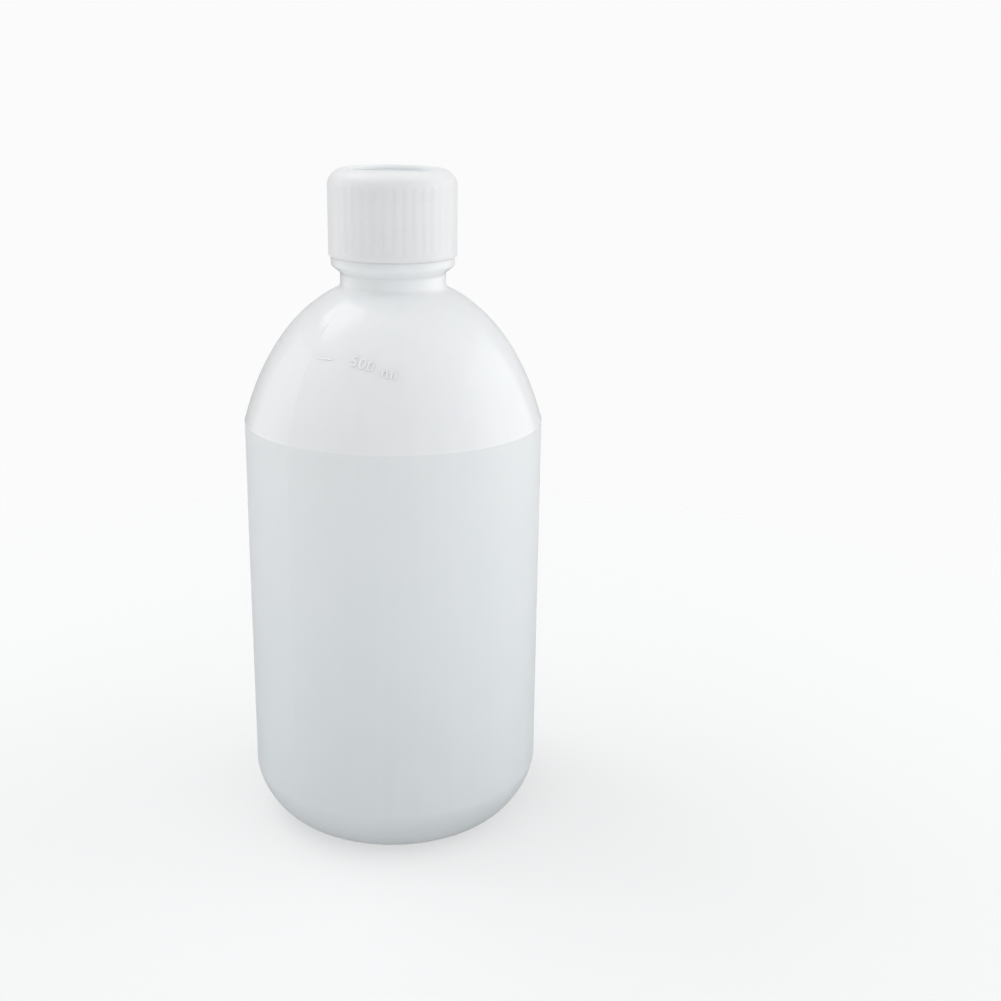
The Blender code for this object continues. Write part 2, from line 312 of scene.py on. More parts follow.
def body_profile():
    """From the centre of the base, up the outside, over the lip and down the inside."""
    inner_wall = BODY_RADIUS - BODY_WALL
    base = push_up(0.0)[:-1]
    outer_heel = list(reversed(heel(BODY_RADIUS, 0.0, HEEL_STEPS)))
    below_parting = (BODY_RADIUS, SHOULDER_BOTTOM - PARTING_RIDGE_WIDTH)
    wall = spaced([(BODY_RADIUS, HEEL_HEIGHT), below_parting], WALL_ROW)
    parting = spaced([below_parting, (BODY_RADIUS, SHOULDER_BOTTOM)], PARTING_ROW)
    shoulder = dome(BODY_RADIUS, 0.0, NECK_RADIUS + NECK_FILLET, DOME_STEPS)
    above_parting = spaced(shoulder[:2], ABOVE_PARTING_ROW)
    neck_foot = dome(BODY_RADIUS, 0.0, NECK_RADIUS, 1)[-1][1]
    neck = rounded(
        [
            shoulder[-1] + (0,),
            (NECK_RADIUS, neck_foot, NECK_FILLET / 2),
            (NECK_RADIUS, BEAD_CONE_BOTTOM, BEAD_EDGE),
            (BEAD_RADIUS, BEAD_CONE_BOTTOM + BEAD_CONE_HEIGHT, BEAD_EDGE),
            (BEAD_RADIUS, BEAD_TOP, BEAD_EDGE / 4),
            (COLLAR_RADIUS, BEAD_TOP, 0.1),
            (COLLAR_RADIUS, COLLAR_TOP, COLLAR_EDGE),
            (FINISH_RADIUS, COLLAR_TOP, COLLAR_EDGE),
            (FINISH_RADIUS, LIP_TOP - 2 * LIP_EDGE, 0),
        ],
        6,
    )
    finish = spaced(neck[-2:], THREAD_ROW)
    mouth = rounded(
        [
            (FINISH_RADIUS, LIP_TOP - 2 * LIP_EDGE, 0),
            (FINISH_RADIUS, LIP_TOP, LIP_EDGE),
            (BORE_RADIUS, LIP_TOP, LIP_EDGE),
            (BORE_RADIUS, LIP_TOP - 3 * LIP_EDGE, 0),
        ],
        6,
    )
    inner_dome = list(reversed(dome(inner_wall, BODY_WALL, BORE_RADIUS, INNER_DOME_STEPS)))
    bore = spaced([mouth[-1], inner_dome[0]], BORE_ROW)
    inner_side = spaced([inner_dome[-1], (inner_wall, HEEL_HEIGHT)], INNER_WALL_ROW)
    inner_heel = heel(inner_wall, BASE_WALL, INNER_HEEL_STEPS)
    inner_base = list(reversed(push_up(BASE_WALL)[:-1]))
    inside = inner_dome[1:] + inner_side[1:] + inner_heel[1:] + inner_base
    outside = base + outer_heel + wall[1:] + parting[1:] + above_parting[1:] + shoulder[2:-1]
    return outside + neck[:-2] + finish + mouth[1:] + bore[1:] + inside


def cap_profile():
    """From the centre of the recess, over the crown, down the ribbed side, and up inside."""
    recess_floor = CAP_TOP - RECESS_DEPTH
    ceiling = recess_floor - CAP_TOP_PLATE
    top = rounded(
        [
            (0.0, recess_floor, 0),
            (RECESS_RADIUS * 0.5, recess_floor, 0),
            (RECESS_RADIUS, recess_floor, RECESS_EDGE),
            (RECESS_RADIUS + RECESS_DRAFT, CAP_TOP, RECESS_EDGE),
            (CAP_RADIUS - CAP_CROWN, CAP_TOP, 0),
        ],
        10,
    )
    crown = arc(CAP_RADIUS - CAP_CROWN, CAP_TOP - CAP_CROWN, CAP_CROWN, QUARTER_TURN, 0.0, CROWN_STEPS)
    ribs_full = (CAP_RADIUS, RIB_BOTTOM + RIB_RUN_OUT)
    upright = spaced([crown[-1], ribs_full], CAP_SIDE_ROW)
    run_out = spaced([ribs_full, (CAP_RADIUS, RIB_BOTTOM)], RUN_OUT_ROW)
    mouth = rounded(
        [
            ribs_full + (0,),
            (CAP_RADIUS, CAP_BOTTOM, CAP_LOWER_EDGE),
            (CAP_BORE_RADIUS + CAP_MOUTH_CHAMFER, CAP_BOTTOM, CAP_MOUTH_EDGE),
            (CAP_BORE_RADIUS, CAP_BOTTOM + CAP_MOUTH_HEIGHT, CAP_MOUTH_EDGE),
            (CAP_BORE_RADIUS, CAP_BOTTOM + 3 * CAP_MOUTH_HEIGHT, 0),
        ],
        5,
    )
    thread_low = CAP_THREAD_BOTTOM - CAP_THREAD_HALF_WIDTH
    thread_top = CAP_THREAD_BOTTOM + CAP_THREAD_TURNS * PITCH + CAP_THREAD_HALF_WIDTH
    thread_top = min(thread_top, ceiling - CEILING_TO_THREAD)
    threaded = spaced([(CAP_BORE_RADIUS, thread_low), (CAP_BORE_RADIUS, thread_top)], THREAD_ROW)
    inside = rounded(
        [
            threaded[-1] + (0,),
            (CAP_BORE_RADIUS, ceiling, CEILING_EDGE),
            (CAP_BORE_RADIUS * 0.6, ceiling, 0),
            (0.0, ceiling, 0),
        ],
        4,
    )
    return top + crown[1:] + upright[1:] + run_out[1:] + mouth[1:] + threaded + inside[1:]


def plug_profile():
    """From the centre of the well's floor, over the flange, and round under the skirt."""
    top = PLUG_HIGH.z
    bottom = PLUG_LOW.z
    flange = PLUG_HIGH.x
    well = PLUG_SKIRT_RADIUS - PLUG_WALL
    floor = top - PLUG_WELL_DEPTH
    return rounded(
        [
            (0.0, floor + PLUG_FLOOR_CROWN, 0),
            (well * 0.5, floor + PLUG_FLOOR_CROWN / 4, 0),
            (well, floor, 0.45),
            (well + PLUG_DRAFT, top, 0.35),
            (flange, top, 0.3),
            (flange, top - PLUG_FLANGE, 0.15),
            (PLUG_SKIRT_RADIUS, top - PLUG_FLANGE, PLUG_EDGE),
            (PLUG_SKIRT_RADIUS, bottom + PLUG_LEAD, 0.3),
            (PLUG_SKIRT_RADIUS - PLUG_LEAD / 2, bottom, PLUG_EDGE),
            (well, bottom, PLUG_EDGE),
            (well, floor - PLUG_WALL, 0.5),
            (well * 0.5, floor - PLUG_WALL, 0),
            (0.0, floor - PLUG_WALL, 0),
        ],
        5,
    )


def wad_profile():
    """A thin disc with soft edges and a faint ring where the plug's flange presses into it."""
    top = WAD_HIGH.z
    bottom = WAD_LOW.z
    edge = WAD_HIGH.x
    pressed = PLUG_HIGH.x
    return rounded(
        [
            (0.0, top, 0),
            (edge * 0.5, top, 0),
            (edge, top, WAD_EDGE),
            (edge, bottom, WAD_EDGE),
            (pressed + 0.15, bottom, WAD_PRESSED_EDGE),
            (pressed, bottom + WAD_PRESSED, WAD_PRESSED_EDGE),
            (PLUG_SKIRT_RADIUS, bottom + WAD_PRESSED, WAD_PRESSED_EDGE),
            (PLUG_SKIRT_RADIUS - 0.4, bottom, WAD_PRESSED_EDGE),
            (edge * 0.4, bottom, 0),
            (0.0, bottom, 0),
        ],
        4,
    )


# ---------------------------------------------------------------- relief on turned skins


def smooth_step(low, high, value):
    """0 below low, 1 above high, and a smooth rise between them."""
    t = np.clip((value - low) / (high - low), 0.0, 1.0)
    return t * t * (3 - 2 * t)


def thread_height(z, angle, bottom, turns, height, half_width):
    """Height of a right-hand ridge over its wall, at arrays of heights and angles."""
    turn_share = (angle % FULL_TURN) / FULL_TURN
    whole_turns = np.round((z - bottom) / PITCH - turn_share)
    along = whole_turns + turn_share
    distance = np.abs(z - bottom - PITCH * along)
    run_out = smooth_step(0.0, THREAD_RUN_OUT, np.minimum(along, turns - along))
    return height * run_out * (1 - smooth_step(THREAD_FLAT, half_width, distance))


def seam_height(r, angle):
    """A fine ridge along each mould seam, standing on a very shallow peak of the skin."""
    height = 0.0
    for seam_angle in SEAM_ANGLES:
        turn = (angle - seam_angle + HALF_TURN) % FULL_TURN - HALF_TURN
        distance = np.abs(turn) * r
        height = height + SEAM_RELIEF * (1 - smooth_step(0.0, SEAM_HALF_WIDTH, distance))
        height = height + SEAM_PEAK * np.exp(-distance / SEAM_PEAK_REACH)
    return height - SEAM_PEAK


def body_columns():
    """Angles of the body's columns: evenly round, with a few more beside each seam."""
    columns = {i * FULL_TURN / BODY_SEGMENTS for i in range(BODY_SEGMENTS)}
    for seam_angle in SEAM_ANGLES:
        for offset in SEAM_COLUMNS:
            columns.add((seam_angle + math.radians(offset)) % FULL_TURN)
            columns.add((seam_angle - math.radians(offset)) % FULL_TURN)
    return sorted(columns)


def even_columns(count):
    """Angles of count columns, evenly round."""
    return [i * FULL_TURN / count for i in range(count)]


def body_relief(r, z, angle):
    """The neck thread, the parting ridge, the mould seams and the slight unevenness of a blown skin."""
    finish = (np.abs(r - FINISH_RADIUS) < 0.01) & (z > COLLAR_TOP)
    ridge = thread_height(
        z, angle, NECK_THREAD_BOTTOM, NECK_THREAD_TURNS, NECK_THREAD_HEIGHT, NECK_THREAD_HALF_WIDTH
    )
    parting = PARTING_RIDGE * np.clip(1 - np.abs(z - SHOULDER_BOTTOM) / (PARTING_RIDGE_WIDTH / 2), 0, 1)
    outside = r > BODY_RADIUS - BODY_WALL / 2
    swell = 0.0
    for depth, count, phase, pitch in SWELL_WAVES:
        swell = swell + depth * np.sin(count * angle + phase + z / pitch)
    uneven = np.minimum(swell, SWELL_LIMIT) - SWELL_LIMIT
    shown = smooth_step(*RELIEF_COMES_IN, z) * (1 - smooth_step(*RELIEF_GOES_OUT, z))
    skin = (uneven + seam_height(r, angle)) * shown
    return np.where(finish, ridge, skin) + np.where(outside, parting, 0.0)


def cap_relief(r, z, angle):
    """Grip ribs outside and the thread inside."""
    band = smooth_step(RIB_BOTTOM, RIB_BOTTOM + RIB_RUN_OUT, z)
    band = band * (1 - smooth_step(RIB_TOP - RIB_TOP_RUN_OUT, RIB_TOP, z))
    crest = 0.5 + 0.5 * np.cos(RIB_COUNT * angle)
    groove = -RIB_DEPTH * band * (1 - crest)
    ridge = thread_height(
        z, angle, CAP_THREAD_BOTTOM, CAP_THREAD_TURNS, CAP_THREAD_HEIGHT, CAP_THREAD_HALF_WIDTH
    )
    outside = r > (CAP_BORE_RADIUS + CAP_RADIUS) / 2
    bore = np.abs(r - CAP_BORE_RADIUS) < 0.01
    return np.where(outside, groove, 0.0) - np.where(bore, ridge, 0.0)


def turned(name, profile, columns, relief=None):
    """A closed skin turned about Z from a profile that starts and ends on the axis.

    relief(r, z, angle) says how far each point moves outwards.
    """
    rings = np.array(profile[1:-1])
    angles = np.array(columns)
    segments = len(columns)
    r = np.repeat(rings[:, :1], segments, axis=1)
    z = np.repeat(rings[:, 1:], segments, axis=1)
    angle = np.repeat(angles[None, :], len(rings), axis=0)
    if relief:
        r = r + relief(r, z, angle)
    points = np.stack((r * np.cos(angle), r * np.sin(angle), z), axis=-1).reshape(-1, 3)
    poles = [(0.0, 0.0, profile[0][1]), (0.0, 0.0, profile[-1][1])]
    points = np.concatenate((points, poles)) * MM
    first_pole = len(points) - 2
    last_pole = len(points) - 1
    last_ring = (len(rings) - 1) * segments
    faces = []
    for j in range(segments):
        k = (j + 1) % segments
        faces.append((first_pole, j, k))
        faces.append((last_pole, last_ring + k, last_ring + j))
        for i in range(len(rings) - 1):
            low = i * segments
            high = low + segments
            faces.append((low + j, high + j, high + k, low + k))
    mesh = bpy.data.meshes.new(name)
    mesh.from_pydata(points.tolist(), [], faces)
    turn_outwards(mesh)
    return new_piece(name, mesh)


def turn_outwards(mesh):
    """Flips the faces of a closed mesh if its volume comes out negative."""
    mesh.calc_loop_triangles()
    points = np.empty(len(mesh.vertices) * 3)
    mesh.vertices.foreach_get("co", points)
    corners = np.empty(len(mesh.loop_triangles) * 3, np.int32)
    mesh.loop_triangles.foreach_get("vertices", corners)
    if np.linalg.det(points.reshape(-1, 3)[corners.reshape(-1, 3)]).sum() < 0:
        mesh.flip_normals()


def new_piece(name, mesh, sharp_degrees=50.0):
    """An object in the scene, smooth but for edges sharper than sharp_degrees."""
    mesh.shade_smooth()
    mesh.set_sharp_from_angle(angle=math.radians(sharp_degrees))
    obj = bpy.data.objects.new(name, mesh)
    bpy.context.scene.collection.objects.link(obj)
    return obj


def store_wear(obj, wear):
    """Saves wear(r, z), from 0 to 1, on the points of a mesh, for its material to read."""
    points = np.empty(len(obj.data.vertices) * 3)
    obj.data.vertices.foreach_get("co", points)
    points = points.reshape(-1, 3) / MM
    values = wear(np.hypot(points[:, 0], points[:, 1]), points[:, 2])
    attribute = obj.data.attributes.new("wear", "FLOAT", "POINT")
    attribute.data.foreach_set("value", values.astype(np.float32))


def body_wear(r, z):
    """Scuffed where the bottle stands and slides, on the bead's edge and on the thread's crests."""
    ring = (1 - smooth_step(0.0, 1.6, z)) * smooth_step(RING_INNER_RADIUS - 2, RING_INNER_RADIUS, r)
    heel_rub = 0.35 * (1 - smooth_step(1.0, HEEL_HEIGHT, z)) * smooth_step(*HEEL_RUB_RADII, r)
    bead = 0.6 * smooth_step(BEAD_RADIUS - 0.3, BEAD_RADIUS, r) * smooth_step(*BEAD_RUB_HEIGHTS, z)
    crests = 0.5 * smooth_step(FINISH_RADIUS + 0.7, FINISH_RADIUS + 1.1, r) * (z > BEAD_TOP + 0.5)
    return np.maximum.reduce([ring, heel_rub, bead, crests])


def cap_wear(r, z):
    """Rubbed on the crests of the ribs, the rim of the recess and the lower edge."""
    crests = 0.6 * smooth_step(CAP_RADIUS - 0.12, CAP_RADIUS, r) * (z < RIB_TOP)
    rim = 0.7 * smooth_step(CAP_TOP - 0.35, CAP_TOP, z)
    low_down = 1 - smooth_step(CAP_BOTTOM, CAP_BOTTOM + 0.5, z)
    lower_edge = 0.5 * low_down * smooth_step(*LOWER_EDGE_RUB_RADII, r)
    return np.maximum.reduce([crests, rim, lower_edge])


def plug_wear(r, z):
    """Rubbed on the flange."""
    return smooth_step(PLUG_SKIRT_RADIUS, PLUG_HIGH.x, r) * 0.6


def wad_wear(r, z):
    """Pressed and rubbed where the plug's flange bears on it, and out to the edge."""
    return smooth_step(PLUG_SKIRT_RADIUS - 0.5, PLUG_SKIRT_RADIUS + 0.2, r) * 0.7


# ---------------------------------------------------------------- raised marks on the body


def body_radius(z):
    """Outer radius of the wall or shoulder at height z."""
    return BODY_RADIUS if z <= SHOULDER_BOTTOM else dome_radius(z)


def body_slope(z):
    """How fast the outer radius grows with height."""
    step = 0.05
    return (body_radius(z + step) - body_radius(z - step)) / (2 * step)


def lay_on_body(mesh, angle, height, tilt):
    """Tilts a flat mesh, drawn in millimetres with its face up, and bends it onto the body's outside."""
    mesh.transform(Matrix.Rotation(tilt, 4, "Z"))
    for vertex in mesh.vertices:
        x, y, lift = vertex.co
        z = height + y / math.hypot(1.0, body_slope(height))
        r = body_radius(z)
        slope = body_slope(z)
        steepness = math.hypot(1.0, slope)
        out = lift + MARK_RELIEF / 2 - SKIN_BELOW_CAD
        around = angle + x / r
        r += out / steepness
        z -= out * slope / steepness
        vertex.co = (r * math.cos(around) * MM, r * math.sin(around) * MM, z * MM)


def curve_mesh(curve):
    """The solid of a flat curve or text, raised by MARK_RELIEF with softened edges, as its own mesh."""
    edge = MARK_RELIEF * 0.4
    curve.extrude = MARK_RELIEF
    curve.bevel_depth = edge
    curve.bevel_resolution = 1
    curve.offset = -edge
    holder = bpy.data.objects.new("holder", curve)
    bpy.context.scene.collection.objects.link(holder)
    bpy.context.view_layer.update()
    graph = bpy.context.evaluated_depsgraph_get()
    mesh = bpy.data.meshes.new_from_object(holder.evaluated_get(graph))
    bpy.data.objects.remove(holder)
    return mesh


def dash_mesh():
    """A dash with round ends, in short steps so that it can bend."""
    curve = bpy.data.curves.new("dash", "CURVE")
    curve.dimensions = "2D"
    curve.fill_mode = "BOTH"
    spline = curve.splines.new("POLY")
    reach = (MARK_LENGTH - MARK_WIDTH) / 2
    end_radius = MARK_WIDTH / 2
    right_end = arc(reach, 0.0, end_radius, -QUARTER_TURN, QUARTER_TURN, 6)
    left_end = arc(-reach, 0.0, end_radius, QUARTER_TURN, 3 * QUARTER_TURN, 6)
    outline = spaced(right_end + left_end + right_end[:1], 0.8)[:-1]
    spline.points.add(len(outline) - 1)
    for point, (x, y) in zip(spline.points, outline):
        point.co = (x, y, 0.0, 1.0)
    spline.use_cyclic_u = True
    return curve_mesh(curve)


def text_mesh(text):
    """Letters or digits whose capitals are LETTER_HEIGHT high."""
    curve = bpy.data.curves.new("letters", "FONT")
    curve.body = text
    curve.size = LETTER_HEIGHT / CAPITAL_SHARE
    curve.align_x = "CENTER"
    curve.align_y = "CENTER"
    curve.resolution_u = 3
    curve.space_character = 1.08
    return curve_mesh(curve)


def raised_mark(name, mesh, angle, height, material, tilt=0.0):
    """One mark as its own piece, laid on the shoulder."""
    lay_on_body(mesh, angle, height, tilt)
    mesh.name = name
    mesh.materials.clear()
    mesh.materials.append(material)
    piece = new_piece(name, mesh, 60.0)
    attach(piece, "bottle")


def make_marks(material):
    """The capacity mark: the dash, the number of millilitres, and the unit."""
    dash = dash_mesh()
    number = text_mesh(str(FULL_VOLUME))
    unit = text_mesh("ml")
    raised_mark("mark_full", dash, MARK_ANGLE, FULL_MARK_HEIGHT, material)
    raised_mark("number_full", number, NUMBER_ANGLE, FULL_MARK_HEIGHT - NUMBER_DROP, material, TEXT_TILT)
    raised_mark("unit_full", unit, UNIT_ANGLE, FULL_MARK_HEIGHT - UNIT_DROP, material, TEXT_TILT)


# ---------------------------------------------------------------- materials


def node(tree, kind, inputs=None, **settings):
    """Adds a shader node. inputs maps socket names to values or to sockets that feed them."""
    made = tree.nodes.new(kind)
    for name, value in settings.items():
        setattr(made, name, value)
    for name, value in (inputs or {}).items():
        if isinstance(value, bpy.types.NodeSocket):
            tree.links.new(value, made.inputs[name])
        else:
            made.inputs[name].default_value = value
    return made


def noise(tree, place, feature_mm, detail=2.0, roughness=0.5):
    """Noise whose features measure about feature_mm, from 0 to 1."""
    made = node(
        tree,
        "ShaderNodeTexNoise",
        {"Vector": place, "Scale": 1 / (feature_mm * MM), "Detail": detail, "Roughness": roughness},
    )
    return made.outputs["Fac"]


def ramp(tree, value, low, high, to_low, to_high):
    """Maps value from low..high to to_low..to_high, held at the ends."""
    made = node(
        tree,
        "ShaderNodeMapRange",
        {"Value": value, "From Min": low, "From Max": high, "To Min": to_low, "To Max": to_high},
    )
    return made.outputs["Result"]


def maths(tree, operation, first, second):
    """One step of arithmetic on numbers or sockets."""
    made = node(tree, "ShaderNodeMath", operation=operation)
    for socket, value in zip(made.inputs, (first, second)):
        if isinstance(value, bpy.types.NodeSocket):
            tree.links.new(value, socket)
        else:
            socket.default_value = value
    return made.outputs["Value"]


def tint(tree, share, first, second):
    """From the first colour to the second, as far as share says."""
    colours = {"Fac": share, "Color1": first, "Color2": second}
    return node(tree, "ShaderNodeMixRGB", colours).outputs["Color"]


def filtered(tree, share, colour, gel):
    """Colour multiplied by gel, as far as share says."""
    colours = {"Fac": share, "Color1": colour, "Color2": gel}
    return node(tree, "ShaderNodeMixRGB", colours, blend_type="MULTIPLY").outputs["Color"]


def stretched(tree, place, x, y, z):
    """The same coordinates, scaled along each axis."""
    made = node(tree, "ShaderNodeVectorMath", {0: place, 1: (x, y, z)}, operation="MULTIPLY")
    return made.outputs["Vector"]


def translucent(name, light, dark, depth_mm):
    """A milky plastic that light enters to depth_mm, with clouds and upright streaks in its colour.

    Returns the material, its tree, its shader, the coordinates and the colour, to be finished.
    """
    material = bpy.data.materials.new(name)
    material.use_nodes = True
    tree = material.node_tree
    shader = tree.nodes["Principled BSDF"]
    place = node(tree, "ShaderNodeTexCoord").outputs["Object"]
    cloud = noise(tree, place, 22.0, 3.0)
    streaks = noise(tree, stretched(tree, place, 1.0, 1.0, 0.06), 2.6, 2.0)
    cloud_part = maths(tree, "MULTIPLY", cloud, 0.65)
    streak_part = maths(tree, "MULTIPLY", streaks, 0.35)
    share = maths(tree, "ADD", cloud_part, streak_part)
    colour = tint(tree, ramp(tree, share, 0.35, 0.65, 0.0, 1.0), light, dark)
    shader.inputs["Subsurface Weight"].default_value = 1.0
    shader.inputs["Subsurface Radius"].default_value = (1.0, 1.0, 0.95)
    shader.inputs["Subsurface Scale"].default_value = depth_mm * MM
    shader.inputs["IOR"].default_value = 1.5
    return material, tree, shader, place, colour


def finish_surface(tree, shader, colour, roughness, height, depth_mm, worn_colour):
    """Joins colour, roughness and a bump of depth_mm to the shader, with wear on top."""
    wear = node(tree, "ShaderNodeAttribute", attribute_name="wear").outputs["Fac"]
    place = node(tree, "ShaderNodeTexCoord").outputs["Object"]
    scuffs = noise(tree, place, 1.1, 4.0, 0.7)
    worn = maths(tree, "MULTIPLY", wear, ramp(tree, scuffs, 0.4, 0.62, 0.15, 1.0))
    scuffed = tint(tree, maths(tree, "MULTIPLY", worn, 0.5), colour, worn_colour)
    tree.links.new(scuffed, shader.inputs["Base Color"])
    rough = maths(tree, "ADD", roughness, maths(tree, "MULTIPLY", worn, 0.2))
    tree.links.new(rough, shader.inputs["Roughness"])
    bump = node(tree, "ShaderNodeBump", {"Height": height, "Distance": depth_mm * MM, "Strength": 1.0})
    tree.links.new(bump.outputs["Normal"], shader.inputs["Normal"])


def body_material():
    """Polyethylene: a satin wall from a blasted mould, and a glossy shoulder and neck, with painted shade
    that darkens the wall towards the bottom.
    """
    material, tree, shader, place, colour = translucent(
        "milky_polyethylene", (0.913, 0.925, 0.932, 1), (0.891, 0.908, 0.916, 1), depth_mm=1.0
    )
    height = node(tree, "ShaderNodeSeparateXYZ", {"Vector": place}).outputs["Z"]
    glossy = ramp(tree, height, (SHOULDER_BOTTOM - 0.15) * MM, (SHOULDER_BOTTOM + 0.15) * MM, 0.0, 1.0)
    satin = ramp(tree, noise(tree, place, 6.0, 3.0), 0.3, 0.7, 0.36, 0.46)
    polished = ramp(tree, noise(tree, place, 9.0, 3.0), 0.3, 0.7, 0.12, 0.19)
    dull_share = maths(tree, "SUBTRACT", 1.0, glossy)
    # Painted shade: the colour is darkened towards the bottom, standing in for the lower wall getting less
    # light.
    painted_shade_share = maths(tree, "POWER", ramp(tree, height, 0.0, SHOULDER_BOTTOM * MM, 1.0, 0.0), 1.3)
    colour = filtered(tree, dull_share, colour, (0.98, 1.0, 1.0, 1))
    colour = filtered(tree, painted_shade_share, colour, (0.825, 0.838, 0.841, 1))
    roughness = maths(
        tree, "ADD", maths(tree, "MULTIPLY", satin, dull_share), maths(tree, "MULTIPLY", polished, glossy)
    )
    grain = maths(tree, "MULTIPLY", noise(tree, place, 0.45, 2.0), maths(tree, "MULTIPLY", dull_share, 0.5))
    waves = noise(tree, place, 14.0, 1.0)
    relief = maths(tree, "ADD", grain, waves)
    finish_surface(tree, shader, colour, roughness, relief, 0.05, (0.86, 0.875, 0.875, 1))
    return material


def mark_material():
    """The body's plastic on the raised marks, polished by handling, and too thin for light to spread in."""
    material, tree, shader, place, colour = translucent(
        "polyethylene_marks", (0.975, 0.980, 0.985, 1), (0.955, 0.963, 0.968, 1), depth_mm=0.1
    )
    shader.inputs["Subsurface Weight"].default_value = 0.0
    roughness = ramp(tree, noise(tree, place, 2.0, 3.0), 0.3, 0.7, 0.18, 0.3)
    grain = noise(tree, place, 0.6, 2.0)
    finish_surface(tree, shader, colour, roughness, grain, 0.02, (0.86, 0.875, 0.875, 1))
    return material


def recess_share(tree, place):
    """1 inside the recess in the cap's top, where less light gets in, and 0 elsewhere: the share of painted
    shade that darkens the recess.
    """
    flat = stretched(tree, place, 1.0, 1.0, 0.0)
    distance = node(tree, "ShaderNodeVectorMath", {0: flat}, operation="LENGTH").outputs["Value"]
    height = node(tree, "ShaderNodeSeparateXYZ", {"Vector": place}).outputs["Z"]
    floor = CAP_TOP - RECESS_DEPTH
    within = ramp(tree, distance, RECESS_RADIUS * MM, (RECESS_RADIUS + 0.2) * MM, 1.0, 0.0)
    sunk = ramp(tree, height, (CAP_TOP - 0.5) * MM, CAP_TOP * MM, 1.0, 0.0)
    outside = ramp(tree, height, (floor - 1.0) * MM, (floor - 0.4) * MM, 0.0, 1.0)
    return maths(tree, "MULTIPLY", within, maths(tree, "MULTIPLY", sunk, outside))


def cap_material():
    """Polypropylene: whiter and denser than the bottle, evenly satin. Part of its whiteness is painted
    light for the brighter top of the bottle, and its recess has painted shade.
    """
    # Painted light: these colours are whiter than the plastic alone, standing in for the stronger light on
    # the cap.
    material, tree, shader, place, colour = translucent(
        "white_polypropylene", (0.964, 0.985, 0.993, 1), (0.945, 0.968, 0.977, 1), depth_mm=1.6
    )
    # Painted shade: the recess in the cap's top is darkened in colour.
    colour = filtered(tree, recess_share(tree, place), colour, (0.86, 0.865, 0.87, 1))
    roughness = ramp(tree, noise(tree, place, 3.0, 3.0), 0.3, 0.7, 0.30, 0.42)
    grain = noise(tree, place, 0.5, 3.0)
    finish_surface(tree, shader, colour, roughness, grain, 0.02, (0.88, 0.89, 0.89, 1))
    return material


def plug_material():
    """Soft low-density polyethylene: clearer and waxier than the bottle."""
    material, tree, shader, place, colour = translucent(
        "soft_polyethylene", (0.905, 0.925, 0.928, 1), (0.885, 0.908, 0.912, 1), depth_mm=1.0
    )
    roughness = ramp(tree, noise(tree, place, 2.0, 3.0), 0.3, 0.7, 0.24, 0.36)
    grain = noise(tree, place, 0.8, 2.0)
    finish_surface(tree, shader, colour, roughness, grain, 0.03, (0.87, 0.88, 0.88, 1))
    return material


def foam_material():
    """Closed-cell foam with fine pores."""
    material, tree, shader, place, colour = translucent(
        "polyethylene_foam", (0.905, 0.905, 0.890, 1), (0.870, 0.870, 0.852, 1), depth_mm=0.5
    )
    cells = node(
        tree, "ShaderNodeTexVoronoi", {"Vector": place, "Scale": 1 / (0.35 * MM)}
    ).outputs["Distance"]
    roughness = ramp(tree, cells, 0.0, 0.6, 0.95, 0.7)
    finish_surface(tree, shader, colour, roughness, cells, 0.06, (0.82, 0.82, 0.80, 1))
    return material


# ---------------------------------------------------------------- pieces


def place_piece(obj, material, body, node_name):
    """Lets a piece ride on a body in place of the CAD node that it stands for."""
    obj.data.materials.append(material)
    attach(obj, body)
    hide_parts(node_name)


def make_body(material):
    body = turned("bottle_shell", body_profile(), body_columns(), body_relief)
    store_wear(body, body_wear)
    place_piece(body, material, "bottle", "bottle_body")
    make_marks(mark_material())


def make_cap(material):
    columns = even_columns(RIB_COUNT * CAP_COLUMNS_PER_RIB)
    cap = turned("cap_shell", cap_profile(), columns, cap_relief)
    store_wear(cap, cap_wear)
    place_piece(cap, material, "cap", "screw_cap")


def make_plug(material):
    plug = turned("plug_shell", plug_profile(), even_columns(PLUG_SEGMENTS))
    store_wear(plug, plug_wear)
    place_piece(plug, material, "plug", "inner_plug")


def make_wad(material):
    wad = turned("wad_disc", wad_profile(), even_columns(WAD_SEGMENTS))
    store_wear(wad, wad_wear)
    place_piece(wad, material, "wad", "sealing_wad")


# ---------------------------------------------------------------- floor, light and camera, in metres

# The backdrop's brightness, and a floor that lets some of it through: a share of FLOOR_CLEARNESS
# near the bottle, and all of it from FLOOR_FADE_END outwards
BACKDROP = 0.965
FLOOR_SHADE = 0.95
FLOOR_CLEARNESS = 0.4
FLOOR_FADE_START = 0.10
FLOOR_FADE_END = 0.42
FLOOR_SIDE = 4.0


def make_floor():
    """A plain pale floor that fades into the backdrop.

    It neither lights the bottle nor shades it: the room's low lights stand for what it would throw up.
    """
    bpy.ops.mesh.primitive_grid_add(x_subdivisions=8, y_subdivisions=8, size=FLOOR_SIDE)
    floor = bpy.context.object
    floor.name = "floor"
    floor.visible_diffuse = False
    floor.visible_glossy = False
    floor.visible_shadow = False
    material = bpy.data.materials.new("pale_floor")
    material.use_nodes = True
    tree = material.node_tree
    tree.nodes.clear()
    shade = (FLOOR_SHADE, FLOOR_SHADE, FLOOR_SHADE, 1)
    surface = node(tree, "ShaderNodeBsdfDiffuse", {"Color": shade})
    clear = node(tree, "ShaderNodeBsdfTransparent")
    place = node(tree, "ShaderNodeTexCoord").outputs["Object"]
    distance = node(tree, "ShaderNodeVectorMath", {0: place}, operation="LENGTH").outputs["Value"]
    fade = ramp(tree, distance, FLOOR_FADE_START, FLOOR_FADE_END, FLOOR_CLEARNESS, 1.0)
    mixed = node(tree, "ShaderNodeMixShader", {0: fade, 1: surface.outputs[0], 2: clear.outputs[0]})
    output = node(tree, "ShaderNodeOutputMaterial", {"Surface": mixed.outputs[0]})
    output.is_active_output = True
    floor.data.materials.append(material)


